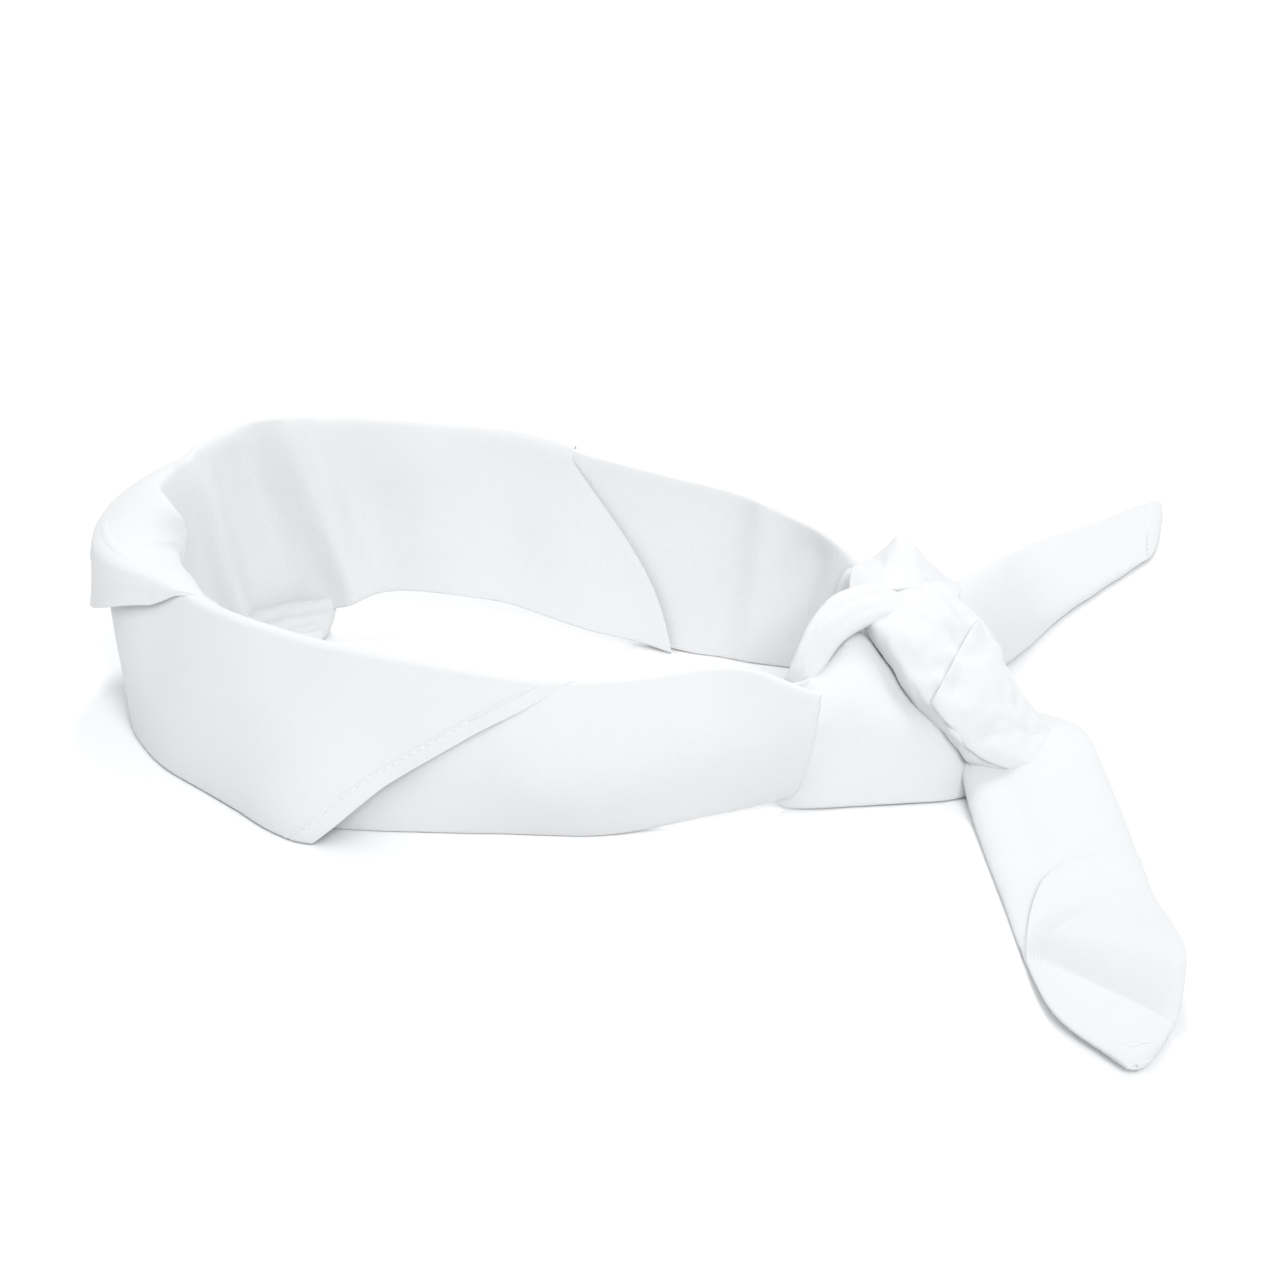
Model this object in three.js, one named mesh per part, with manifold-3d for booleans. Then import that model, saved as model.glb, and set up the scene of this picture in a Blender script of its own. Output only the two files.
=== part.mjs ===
import * as THREE from 'three';
import ManifoldModule from 'manifold-3d';

// A cloth headband: one hemmed square, folded on the bias into a flat band and tied in a knot
// with two loose tails. It lies on a table, standing on one long edge. Millimetres, +Z up.

const LOOP_LENGTH = 200; // the ring from its left turn to the knot, along X
const LOOP_DEPTH = 140; // the ring from its front wall to its back wall, along Y
const BAND_WIDTH = 46; // height of the folded band where it stands on its edge
const CORE = 2.4; // the folded layers inside the front and back walls
const TURN_CORE = 3.6; // the same layers, more of them, bunched at the left turn
const FACE = 0.9; // one outer fold of the cloth
const HEM = 1.3; // the rolled hem, three layers of cloth
const HEM_WIDTH = 5;
const THREAD = 0.5;
const SEAT = 0.3; // room left between two layers that touch
const TAIL = 1.6; // the flattened layers of a tail
const ROOT_GAP = 0.02; // least room between the back tail and the root it comes out of
const KNOT_SIZE = 1; // swells or shrinks every strand of the knot

// The pattern below was laid out for these sizes and stretches with the three above.
const PATTERN_LENGTH = 200;
const PATTERN_DEPTH = 140;
const PATTERN_WIDTH = 46;

const wasm = await ManifoldModule();
wasm.setup();

function place([x, y, z]) {
  return new THREE.Vector3(
    (x * LOOP_LENGTH) / PATTERN_LENGTH,
    (y * LOOP_DEPTH) / PATTERN_DEPTH,
    (z * BAND_WIDTH) / PATTERN_WIDTH,
  );
}

const STATION = 20; // about the distance from one station of the band to the next

// Where the band's foot and rim run, from the knot along the front, round the left turn and back.
// The last number is how far the cloth bellies out between the two.
const WALL = [
  [[38, -62, 3], [44, -76, 46], 2],
  [[18, -69, 1], [20, -66, 46], 3],
  [[-4, -74, 0], [-3, -69, 45], 4],
  [[-26, -74, 0], [-25, -71, 45], 4],
  [[-46, -73, 0], [-45, -65, 45], 4],
  [[-66, -73, 0], [-64, -58, 45], 3],
  [[-85, -70, 0], [-84, -50, 44], 3],
  [[-102, -61, 0], [-102, -40, 44], 3],
  [[-118, -49, 0], [-116, -27, 44], 3],
  [[-131, -36, 0], [-129, -13, 45], 2],
  [[-139, -20, 0], [-143, -1, 47], 1],
  [[-141, -2, 0], [-150, 12, 48], 0],
  [[-138, 14, 0], [-149, 27, 50], 0],
  [[-128, 27, 0], [-141, 40, 51], 0],
  [[-115, 35, 0], [-129, 52, 54], 1],
  [[-101, 40, 3], [-113, 62, 58], 2],
  [[-84, 46, 9], [-90, 68, 56], 2],
  [[-64, 45, 12], [-62, 66, 55], 3],
  [[-43, 43, 10], [-35, 64, 53], 3],
  [[-22, 37, 6], [-12, 57, 49], 3],
  [[0, 31, 2], [12, 51, 45], 2],
  [[16, 26, 0], [29, 45, 43], 2],
  [[31, 22, 0], [43, 35, 42], 1],
  [[46, 16, 0], [56, 16, 44], 0],
];

// The two edges of each tail's underside, from the knot to the tip, and its crown.
const FRONT_TAIL = [
  [[87, -61, 6], [120, -61, 8], 3],
  [[87, -74, 2], [124, -74, 6], 4],
  [[89, -88, 0], [127, -88, 4], 3],
  [[91, -104, 0], [129, -104, 2], 2],
  [[93, -120, 0], [130, -120, 1], 1],
  [[95, -136, 0], [130, -136, 0], 1],
  [[97, -150, 0], [130, -148, 0], 1],
  [[101, -164, 0], [129, -160, 0], 0],
  [[109, -176, 0], [124, -171, 0], 0],
];
const BACK_TAIL = [
  [[116, 31, 1], [102, 42, 20], 2],
  [[125, 46, 0], [111, 62, 13], 2],
  [[135, 59, 0], [120, 79, 7], 2],
  [[144, 70, 0], [131, 94, 3], 1],
  [[152, 80, 0], [145, 109, 1], 1],
  [[161, 95, 0], [157, 120, 0], 0],
  [[168, 114, 0], [164, 126, 0], 0],
];

// The diagonal edges of the outer folds, as stations of the wall against the share of its height.
const hemLine = (v) => 6 - 3.35 * v;
const HEM_SLANT = 12.5; // millimetres square to that hem for each station along the band
const HEM_STATIONS = HEM_WIDTH / HEM_SLANT;
const backFold = (v) => 20.9 - 2.1 * v;
const LAP = 0.02; // a share of one station, the room between two pieces end to end

function blend(list, u) {
  const i = Math.min(Math.max(Math.floor(u), 0), list.length - 2);
  return THREE.MathUtils.lerp(list[i], list[i + 1], THREE.MathUtils.clamp(u - i, 0, 1));
}

// A ruled surface between two edges. It is called with the station, the share across and the
// height above the surface.
function sheet(stations, side) {
  const last = stations.length - 1;
  const first = new THREE.CatmullRomCurve3(stations.map((s) => place(s[0])));
  const second = new THREE.CatmullRomCurve3(stations.map((s) => place(s[1])));
  const crowns = stations.map((s) => s[2]);
  // Past either end an edge runs straight on.
  const edge = (curve, u) => {
    const t = THREE.MathUtils.clamp(u / last, 0, 1);
    return curve.getPoint(t).addScaledVector(curve.getTangent(t), (u - t * last) * STATION);
  };
  const ruled = (u, v) => edge(first, u).lerp(edge(second, u), v);
  return (u, v, height) => {
    const along = ruled(u + 0.05, v).sub(ruled(u - 0.05, v));
    const across = ruled(u, 1).sub(ruled(u, 0));
    const out = across.cross(along).normalize().multiplyScalar(side);
    return ruled(u, v).addScaledVector(out, height + blend(crowns, u) * 4 * v * (1 - v));
  };
}

function closed(points, faces) {
  let volume = 0;
  for (const [a, b, c] of faces) volume += points[a].dot(points[b].clone().cross(points[c]));
  const outward = volume > 0 ? faces : faces.map(([a, b, c]) => [a, c, b]);
  const geometry = new THREE.BufferGeometry();
  geometry.setAttribute(
    'position',
    new THREE.Float32BufferAttribute(points.flatMap((p) => p.toArray()), 3),
  );
  geometry.setIndex(outward.flat());
  return geometry;
}

const at = (x, v) => (typeof x === 'function' ? x(v) : x);

// A layer of cloth on a sheet, from one station line to another, with blunt folded edges.
function layer(surface, { from, to, low = 0, high = 1, under, over, steps = 20, rows = 5 }) {
  const levels = [[low, 0.45]];
  for (let j = 0; j <= rows; j++) levels.push([low + (high - low) * (0.02 + (0.96 * j) / rows), 1]);
  levels.push([high, 0.45]);
  const points = [];
  const faces = [];
  const index = (s, i, j) => (s * (steps + 1) + i) * levels.length + j;
  for (const s of [0, 1]) {
    for (let i = 0; i <= steps; i++) {
      for (const [v, full] of levels) {
        const u = THREE.MathUtils.lerp(at(from, v), at(to, v), i / steps);
        const middle = (at(under, v) + at(over, v)) / 2;
        const half = ((at(over, v) - at(under, v)) / 2) * full;
        points.push(surface(u, v, middle + (s ? half : -half)));
      }
    }
  }
  const quad = (a, b, c, d) => faces.push([a, b, c], [a, c, d]);
  const top = levels.length - 1;
  for (let i = 0; i < steps; i++) {
    for (let j = 0; j < top; j++) {
      quad(index(0, i, j), index(0, i, j + 1), index(0, i + 1, j + 1), index(0, i + 1, j));
      quad(index(1, i, j), index(1, i + 1, j), index(1, i + 1, j + 1), index(1, i, j + 1));
    }
    quad(index(0, i, 0), index(0, i + 1, 0), index(1, i + 1, 0), index(1, i, 0));
    quad(index(0, i, top), index(1, i, top), index(1, i + 1, top), index(0, i + 1, top));
  }
  for (let j = 0; j < top; j++) {
    quad(index(0, 0, j), index(1, 0, j), index(1, 0, j + 1), index(0, 0, j + 1));
    quad(index(0, steps, j), index(0, steps, j + 1), index(1, steps, j + 1), index(1, steps, j));
  }
  return closed(points, faces);
}

// A gathered strand of the knot: a path of centres, each with its half width and half thickness.
function strand(stations, { grow = 0, around = 16, steps = 14 } = {}) {
  const path = new THREE.CatmullRomCurve3(stations.map((s) => place(s[0])));
  const wide = stations.map((s) => s[1]);
  const thick = stations.map((s) => s[2]);
  const last = stations.length - 1;
  const points = [];
  const faces = [];
  for (let i = 0; i <= steps; i++) {
    const t = i / steps;
    const tangent = path.getTangent(t);
    const reach = i === 0 ? -grow : i === steps ? grow : 0;
    const centre = path.getPoint(t).addScaledVector(tangent, reach);
    const side = new THREE.Vector3(0, 0, 1).cross(tangent).normalize();
    const up = tangent.clone().cross(side).normalize();
    const dome = i === 0 || i === steps ? 0.6 : i === 1 || i === steps - 1 ? 0.88 : 1;
    const w = blend(wide, t * last) * dome * KNOT_SIZE + grow;
    const h = blend(thick, t * last) * dome * KNOT_SIZE + grow;
    for (let k = 0; k < around; k++) {
      const a = (2 * Math.PI * k) / around;
      const p = centre.clone().addScaledVector(side, w * Math.cos(a));
      points.push(p.addScaledVector(up, h * Math.sin(a)));
    }
  }
  const index = (i, k) => i * around + (k % around);
  for (let i = 0; i < steps; i++) {
    for (let k = 0; k < around; k++) {
      faces.push([index(i, k), index(i, k + 1), index(i + 1, k + 1)]);
      faces.push([index(i, k), index(i + 1, k + 1), index(i + 1, k)]);
    }
  }
  for (const [i, sign] of [[0, -1], [steps, 1]]) {
    points.push(path.getPoint(i / steps).addScaledVector(path.getTangent(i / steps), sign * grow));
    for (let k = 0; k < around; k++) {
      const rim = [index(i, k), index(i, k + 1)];
      faces.push(sign > 0 ? [rim[0], rim[1], points.length - 1] : [rim[1], rim[0], points.length - 1]);
    }
  }
  return closed(points, faces);
}

const solid = (geometry) =>
  new wasm.Manifold(
    new wasm.Mesh({
      numProp: 3,
      vertProperties: new Float32Array(geometry.attributes.position.array),
      triVerts: new Uint32Array(geometry.index.array),
    }),
  );

const TABLE = wasm.Manifold.cube([2000, 2000, 400], true).translate([0, 0, -200]);

// Whatever dips below the table is pressed flat, and whatever a nearer strand takes is given up.
// What is left is the largest piece.
function pressed(geometry, takers = []) {
  let body = solid(geometry).subtract(TABLE);
  for (const taker of takers) body = body.subtract(taker);
  const [largest] = body.decompose().sort((a, b) => b.volume() - a.volume());
  const mesh = largest.getMesh();
  const shape = new THREE.BufferGeometry();
  shape.setAttribute('position', new THREE.Float32BufferAttribute(mesh.vertProperties, 3));
  shape.setIndex([...mesh.triVerts]);
  return shape;
}

const part = new THREE.Group();
part.name = 'headband';

const CLOTH_COLOUR = 0xf2f2f0;
const THREAD_COLOUR = 0xf6f6f4;
function add(name, geometry, colour = CLOTH_COLOUR) {
  const material = new THREE.MeshStandardMaterial({ color: colour, roughness: 0.92, metalness: 0 });
  const mesh = new THREE.Mesh(geometry, material);
  mesh.name = name;
  part.add(mesh);
}

// --- the standing band ---------------------------------------------------------------------

const wall = sheet(WALL, 1);
const half = CORE / 2;
const turnHalf = TURN_CORE / 2;
const skin = half + SEAT * 1.5; // where a face's underside lies over the core
const second = skin + FACE + SEAT * 2; // and where the next face's lies over that one
const FRONT_END = 9;
const BACK_START = 15.5;
const WALL_END = 23;

const frontCore = { from: 0, to: FRONT_END, under: -half, over: half, steps: 27 };
const turnCore = {
  from: FRONT_END + LAP,
  to: BACK_START,
  under: -turnHalf,
  over: turnHalf,
  steps: 26,
};
const backCore = { from: BACK_START + LAP, to: WALL_END, under: -half, over: half, steps: 23 };
const frontFace = { from: 0.06, to: FRONT_END - 0.1, low: 0.03, under: skin, over: skin + FACE };

add('front_wall_core', pressed(layer(wall, { ...frontCore, low: -0.04 })));
add('left_turn_core', pressed(layer(wall, { ...turnCore, low: -0.04 })));
add('back_wall_core', pressed(layer(wall, { ...backCore, low: -0.04 })));
add('front_wall_face', layer(wall, { ...frontFace, steps: 27 }));

add('front_left_face', layer(wall, {
  from: (v) => hemLine(v) + HEM_STATIONS + LAP,
  to: FRONT_END - 0.1,
  low: 0.03,
  under: second,
  over: second + FACE,
  steps: 27,
}));
add('corner_hem', layer(wall, {
  from: hemLine,
  to: (v) => hemLine(v) + HEM_STATIONS,
  low: 0.01,
  under: second,
  over: second + HEM,
  steps: 2,
  rows: 8,
}));
add('corner_hem_stitches', layer(wall, {
  from: (v) => hemLine(v) + HEM_STATIONS * 0.78,
  to: (v) => hemLine(v) + HEM_STATIONS * 0.78 + THREAD / HEM_SLANT,
  low: 0.05,
  high: 0.94,
  under: second + HEM + SEAT,
  over: second + HEM + SEAT + THREAD,
  steps: 1,
  rows: 8,
}), THREAD_COLOUR);

// The rim of the left turn flops outward as a lip over the band.
const lipFlare = (v) => 2.4 * (1 - v);
add('left_turn_lip', layer(wall, {
  from: (v) => Math.max(FRONT_END + 0.02, 10.9 - 4.9 * (v - 0.55)),
  to: 13.3,
  low: 0.55,
  high: 1.02,
  under: (v) => turnHalf + SEAT + lipFlare(v) * 0.6,
  over: (v) => turnHalf + SEAT + FACE * 2 + lipFlare(v),
  steps: 17,
  rows: 4,
}));
add('left_turn_lining', layer(wall, {
  from: 11.2,
  to: BACK_START - 0.1,
  low: 0.12,
  high: 0.97,
  under: -turnHalf - SEAT - FACE,
  over: -turnHalf - SEAT,
  steps: 17,
}));
add('back_right_face', layer(wall, {
  from: BACK_START + 0.1,
  to: WALL_END - 0.1,
  low: 0.03,
  under: -skin - FACE,
  over: -skin,
  steps: 22,
}));
add('back_left_face', layer(wall, {
  from: BACK_START + 0.15,
  to: backFold,
  low: 0.02,
  under: -second - FACE,
  over: -second,
  steps: 16,
}));

const grownTurn = solid(layer(wall, {
  ...turnCore,
  low: -0.1,
  under: -turnHalf - SEAT * 2 - FACE,
  over: turnHalf + SEAT,
}));
const grownBack = solid(layer(wall, {
  ...backCore,
  to: WALL_END + LAP,
  low: -0.15,
  high: 1.06,
  under: -second - FACE - SEAT,
  over: half + SEAT,
}));
const grownFront = solid(layer(wall, {
  ...frontCore,
  from: -LAP,
  low: -0.15,
  high: 1.06,
  under: -half - SEAT,
  over: skin + FACE + SEAT,
}));
const bottomRoll = strand([
  [[-127, 21, 4], 4, 4],
  [[-112, 30, 5], 6, 5],
  [[-98, 36, 5], 5, 5],
], { around: 12, steps: 8 });
add('bottom_roll', pressed(bottomRoll, [grownTurn, grownBack]));

const frontTail = sheet(FRONT_TAIL, -1);
const backTail = sheet(BACK_TAIL, -1);

// --- the knot ------------------------------------------------------------------------------

const WRAP = [
  [[62, 4, 32], 10, 9],
  [[73, -12, 32], 15, 12],
  [[84, -27, 27], 17, 13],
  [[93, -39, 20], 16, 12],
  [[100, -47, 13], 13, 9],
];
const LOWER_STRAND = [
  [[26, -60, 22], 8, 20],
  [[42, -52, 19], 12, 19],
  [[62, -42, 15], 16, 16],
  [[76, -42, 12], 15, 12],
  [[88, -42, 10], 11, 9],
];
const SIDE_STRAND = [
  [[41, -36, 25], 5, 6],
  [[47, -28, 35], 7, 7],
  [[58, -20, 40], 8, 6],
  [[70, -12, 38], 7, 6],
];
const TOP_FOLD = [
  [[58, -2, 38], 5, 6],
  [[69, 8, 40], 8, 7],
  [[82, 4, 34], 9, 8],
];
const REAR_STRAND = [
  [[44, 9, 22], 12, 20],
  [[62, 8, 20], 13, 19],
  [[82, 6, 17], 14, 17],
  [[98, 2, 14], 12, 13],
];
const FRONT_ROOT = [
  [[104, -30, 9], 14, 9],
  [[104, -44, 11], 17, 10],
  [[104, -60.5, 10], 18, 9],
];
const BACK_ROOT = [
  [[90, 4, 18], 12, 14],
  [[100, 20, 16], 14, 14],
  [[108.5, 35.8, 12], 14, 13],
];
const CORE_KNOT = [
  [[56, -16, 18], 20, 18],
  [[78, -14, 18], 24, 18],
  [[100, -16, 13], 20, 13],
];

const taken = [grownFront, grownBack];
function tie(name, stations) {
  add(name, pressed(strand(stations), taken));
  taken.push(solid(strand(stations, { grow: SEAT })));
}
tie('knot_wrap', WRAP);
tie('knot_lower_strand', LOWER_STRAND);
tie('knot_side_strand', SIDE_STRAND);
tie('knot_top_fold', TOP_FOLD);
const backTailStart = { from: -LAP, to: 1, under: -ROOT_GAP, over: TAIL + ROOT_GAP };
taken.push(solid(layer(backTail, backTailStart)));
tie('front_tail_root', FRONT_ROOT);
tie('back_tail_root', BACK_ROOT);
tie('knot_rear_strand', REAR_STRAND);
tie('knot_core', CORE_KNOT);

// --- the tails -----------------------------------------------------------------------------

const FRONT_TIP = FRONT_TAIL.length - 1;
const BACK_TIP = BACK_TAIL.length - 1;
const turnedEdge = (v) => 4.9 - 2.6 * Math.sin((v * Math.PI) / 2);
const upper = TAIL + SEAT;

add('front_tail', pressed(layer(frontTail, { from: 0, to: 7.4, under: 0, over: TAIL, steps: 15 })));
add('front_tail_turned_end', pressed(layer(frontTail, {
  from: turnedEdge,
  to: 7.4,
  low: 0.02,
  high: 0.98,
  under: upper,
  over: upper + FACE,
  steps: 10,
})));
add('front_tail_hem', pressed(layer(frontTail, {
  from: 7.4 + LAP,
  to: FRONT_TIP,
  under: 0,
  over: TAIL + HEM,
  steps: 4,
})));
add('front_tail_stitches', pressed(layer(frontTail, {
  from: 7.48,
  to: 7.53,
  low: 0.1,
  high: 0.9,
  under: TAIL + HEM + SEAT,
  over: TAIL + HEM + SEAT + THREAD,
  steps: 1,
  rows: 6,
})), THREAD_COLOUR);

add('back_tail', pressed(layer(backTail, { from: 0, to: 5, under: 0, over: TAIL, steps: 12 })));
add('back_tail_face', pressed(layer(backTail, {
  from: 0.05,
  to: 4.95,
  low: 0.02,
  high: 0.98,
  under: upper,
  over: upper + FACE,
  steps: 12,
})));
add('back_tail_hem', pressed(layer(backTail, {
  from: 5 + LAP,
  to: BACK_TIP,
  under: 0,
  over: TAIL + HEM,
  steps: 4,
})));
add('back_tail_stitches', pressed(layer(backTail, {
  from: 5.1,
  to: 5.15,
  low: 0.1,
  high: 0.9,
  under: TAIL + HEM + SEAT,
  over: TAIL + HEM + SEAT + THREAD,
  steps: 1,
  rows: 6,
})), THREAD_COLOUR);

// The origin is the middle of the part's footprint, on the table.
part.updateMatrixWorld(true);
const box = new THREE.Box3().setFromObject(part);
const centre = box.getCenter(new THREE.Vector3());
for (const mesh of part.children) {
  mesh.geometry.translate(-centre.x, -centre.y, -box.min.z);
  mesh.geometry.computeVertexNormals();
}

export default part;
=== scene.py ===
# %% [markdown]
# # A tied cloth headband
# One hemmed square of white cotton is folded corner to corner into a flat band and tied in a
# knot. The band stands on its long edge and the two loose ends lie on the table. Everything
# here is cloth and thread. Every piece is a sheet, a gathered strand or a row of stitches.

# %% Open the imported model
import math

import bpy
import numpy as np
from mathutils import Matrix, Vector, noise


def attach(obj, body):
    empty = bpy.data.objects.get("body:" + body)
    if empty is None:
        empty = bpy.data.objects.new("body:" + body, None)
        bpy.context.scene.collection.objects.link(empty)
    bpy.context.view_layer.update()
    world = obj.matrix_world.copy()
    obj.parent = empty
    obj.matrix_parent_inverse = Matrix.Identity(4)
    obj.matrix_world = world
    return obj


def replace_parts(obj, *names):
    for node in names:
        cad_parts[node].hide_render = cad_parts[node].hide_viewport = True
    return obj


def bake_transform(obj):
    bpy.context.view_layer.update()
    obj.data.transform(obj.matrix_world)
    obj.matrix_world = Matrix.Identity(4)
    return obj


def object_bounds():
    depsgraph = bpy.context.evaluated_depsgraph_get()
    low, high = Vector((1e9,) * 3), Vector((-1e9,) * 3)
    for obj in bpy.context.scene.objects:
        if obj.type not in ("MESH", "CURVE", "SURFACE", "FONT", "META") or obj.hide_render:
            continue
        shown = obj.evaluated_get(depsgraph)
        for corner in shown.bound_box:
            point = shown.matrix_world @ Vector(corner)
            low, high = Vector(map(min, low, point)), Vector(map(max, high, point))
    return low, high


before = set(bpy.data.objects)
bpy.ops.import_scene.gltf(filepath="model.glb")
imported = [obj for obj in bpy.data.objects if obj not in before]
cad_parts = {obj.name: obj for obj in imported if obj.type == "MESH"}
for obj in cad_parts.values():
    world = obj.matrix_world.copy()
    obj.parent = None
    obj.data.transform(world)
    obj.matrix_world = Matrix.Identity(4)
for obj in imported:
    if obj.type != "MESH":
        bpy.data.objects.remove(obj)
packed_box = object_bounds()

# %% [markdown]
# The shapes below are laid out in millimetres on one pattern, the same one that the model was
# built on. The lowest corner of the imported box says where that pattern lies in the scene.

# %% The pattern's place in the scene
MM = 0.001
PATTERN_LOW = np.array((-154.41, -176.0, 0.0))
pattern_origin = np.array(packed_box[0]) - PATTERN_LOW * MM


def to_scene(points):
    return pattern_origin + np.asarray(points, float) * MM


def add_object(name, data):
    """A new object of the scene that shows a mesh, a lamp or a camera."""
    obj = bpy.data.objects.new(name, data)
    bpy.context.scene.collection.objects.link(obj)
    return obj


print("pattern origin (m)", [round(float(c), 4) for c in pattern_origin])

# %% [markdown]
# ## Smooth lines
# Cloth has no corners along its length. A Catmull-Rom curve passes through each point that is
# given, so a few stations are enough to draw a whole fold.


# %% A smooth line through a few points
def trace(points, t):
    """The points at places t, counted in points, on a smooth line through them."""
    p = np.asarray(points, float)
    p = np.concatenate([2 * p[:1] - p[1:2], p, 2 * p[-1:] - p[-2:-1]])
    t = np.asarray(t, float)
    i = np.clip(np.floor(t).astype(int), 0, len(p) - 4)
    f = (t - i).reshape(t.shape + (1,) * (p.ndim - 1))
    a, b, c, d = p[i], p[i + 1], p[i + 2], p[i + 3]
    square, cube = 2 * a - 5 * b + 4 * c - d, 3 * b - a - 3 * c + d
    return 0.5 * (2 * b + (c - a) * f + square * f**2 + cube * f**3)


def unit(v):
    return v / np.maximum(np.linalg.norm(v, axis=-1, keepdims=True), 1e-9)


# %% [markdown]
# ## The standing band
# The band is described by its foot on the table and its rim above, station by station: from the
# knot along the front, round the left turn and back along the rear wall. Soft folds are then
# pressed into that surface as ridges and valleys, so every layer that lies on it shares them.

# %% Where the foot and the rim run
WALL = [
    # foot, rim, belly, half thickness
    ((39, -63, 5), (44, -76, 43.5), 2, 1.6),
    ((18, -69, 2.8), (20, -67, 45), 3, 1.6),
    ((-4, -74, 0.3), (-3, -70, 44.5), 4, 1.6),
    ((-26, -74, 0), (-25, -72, 44), 4, 1.6),
    ((-46, -73, 0), (-45, -66, 44), 4, 1.6),
    ((-66, -73, 0), (-64, -58, 44), 3, 1.6),
    ((-85, -70, 0), (-84, -50, 44), 3, 1.7),
    ((-102, -61, 0), (-101, -40, 44), 3, 1.8),
    ((-118, -49, 0), (-116, -27, 43.5), 3, 1.9),
    ((-130, -36, 0), (-129, -13, 44.5), 2, 2.0),
    ((-138, -20, 0), (-143, -1, 46), 1, 2.1),
    ((-140, -2, 0), (-149, 12, 47.5), 0, 2.2),
    ((-137, 14, 0), (-148, 27, 49.5), 0, 2.2),
    ((-128, 27, 0), (-140, 40, 51.5), 0, 2.1),
    ((-115, 35, 0), (-128, 52, 55), 1, 2.0),
    ((-101, 40, 3), (-112, 61, 58.5), 2, 1.8),
    ((-84, 46, 9), (-90, 68, 56), 2, 1.6),
    ((-64, 45, 12), (-62, 66, 55), 3, 1.6),
    ((-43, 43, 10), (-35, 64, 53), 3, 1.6),
    ((-22, 37, 6), (-12, 57, 49), 3, 1.6),
    ((0, 31, 2), (12, 51, 45), 2, 1.6),
    ((16, 26, 0), (29, 45, 43), 2, 1.6),
    ((31, 22, 0), (43, 35, 41), 1, 1.6),
    ((46, 16, 0), (56, 17, 40.5), 0, 1.6),
    ((60, 10, 1), (65, 9, 31), 0, 1.6),
]
FOOT, RIM, BELLY, HALF = ([row[k] for row in WALL] for k in range(4))
LAST = len(WALL) - 1
BAND_WIDTH = 46.0
STATION = 20.0
FLOOR_GAP = 0.15

# %% Soft folds pressed into the wall
# Each is a line from one place to another, as (station, share of height), with a width and a
# height in millimetres. A height above nought stands out of the ring, one below it stands in.
WALL_FOLDS = [
    ((13.5, 0.90), (13.95, 0.10), 6.2, -4.4),
    ((15.35, 0.90), (15.95, 0.08), 6.5, -6.0),
    ((14.7, 0.85), (15.0, 0.10), 6.0, 2.2),
    ((16.9, 0.70), (17.5, 0.10), 12.0, -3.0),
    ((18.8, 0.50), (19.4, 0.00), 11.0, -2.2),
    ((21.6, 0.95), (22.0, 0.20), 7.0, -2.4),
    ((22.7, 0.80), (22.8, 0.20), 6.0, 2.4),
    ((4.6, 0.20), (6.2, 0.80), 12.0, -0.8),
    ((0.8, 0.55), (3.0, 0.35), 10.0, 0.8),
]
RIPPLE = 0.55  # how far handled cloth strays from a smooth wall


def pressed(u, v, folds):
    """How far the folds push the surface out at (u, v)."""
    place = np.stack([u * STATION, v * BAND_WIDTH], -1)
    total = np.array([noise.noise(Vector((*p, 3.0)) / 24) for p in place.reshape(-1, 2)])
    total = total.reshape(np.shape(u)) * RIPPLE * 2
    for start, end, width, height in folds:
        a = np.array((start[0] * STATION, start[1] * BAND_WIDTH))
        b = np.array((end[0] * STATION, end[1] * BAND_WIDTH))
        share = np.clip(((place - a) @ (b - a)) / ((b - a) @ (b - a)), 0, 1)
        gap = place - (a + share[..., None] * (b - a))
        total += height * np.exp(-(gap**2).sum(-1) / width**2)
    return total


def wall(u, v, out, lift=0.0):
    """A point of the wall: station, share of height, distance out of the ring and above it."""
    u, v, out, lift = np.broadcast_arrays(*(np.asarray(x, float) for x in (u, v, out, lift)))
    v_ = v[..., None]

    def ruled(s):
        return trace(FOOT, s) * (1 - v_) + trace(RIM, s) * v_

    up = unit(trace(RIM, u) - trace(FOOT, u))
    away = unit(np.cross(up, ruled(u + 0.05) - ruled(u - 0.05)))
    away[..., 2] *= np.clip(v / 0.3, 0, 1)
    away = unit(away)
    swell = trace(BELLY, u) * 4 * v * (1 - v) + pressed(u, v, WALL_FOLDS)
    p = ruled(u) + away * (out + swell)[..., None] + up * lift[..., None]
    p[..., 2] = np.maximum(p[..., 2], FLOOR_GAP)
    return p


print("band length about", LAST * STATION, "mm")

# %% [markdown]
# Layers follow one another over the rim. Each is placed by its run, the distance along the
# cloth from the top of the rim: above nought down the outside, below nought down the inside.


# %% A layer that hugs the band
def hug(u, run, gap, off=0.0):
    """Points of a layer that lies gap mm off the band's core and stands off mm further out."""
    u, run, gap, off = np.broadcast_arrays(*(np.asarray(x, float) for x in (u, run, gap, off)))
    h = trace(HALF, u)
    r = h + gap
    a = np.clip(run / r, -math.pi / 2, math.pi / 2)
    down = np.maximum(np.abs(run) - r * math.pi / 2, 0)
    v = np.clip(1 - (h + down) / BAND_WIDTH, 0, 1)
    return wall(u, v, (r + off) * np.sin(a), r * np.cos(a))


# %% [markdown]
# ## From points to a piece of cloth
# A piece is a grid of points. It becomes a mesh of quads with a UV map measured in metres of
# cloth, so that the weave has the same size everywhere. An open grid is a sheet: it gets a real
# thickness, and a subdivision rounds its folded edges. A closed grid is a tube pressed flat.

# %% Make a mesh from a grid of points
made = {}


def lengths(grid, axis):
    """Distances along one direction of a grid, measured on its middle line."""
    step = np.linalg.norm(np.diff(grid, axis=axis), axis=-1)
    mean = step.mean(axis=1 - axis)
    return np.concatenate([[0.0], np.cumsum(mean)])


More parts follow.
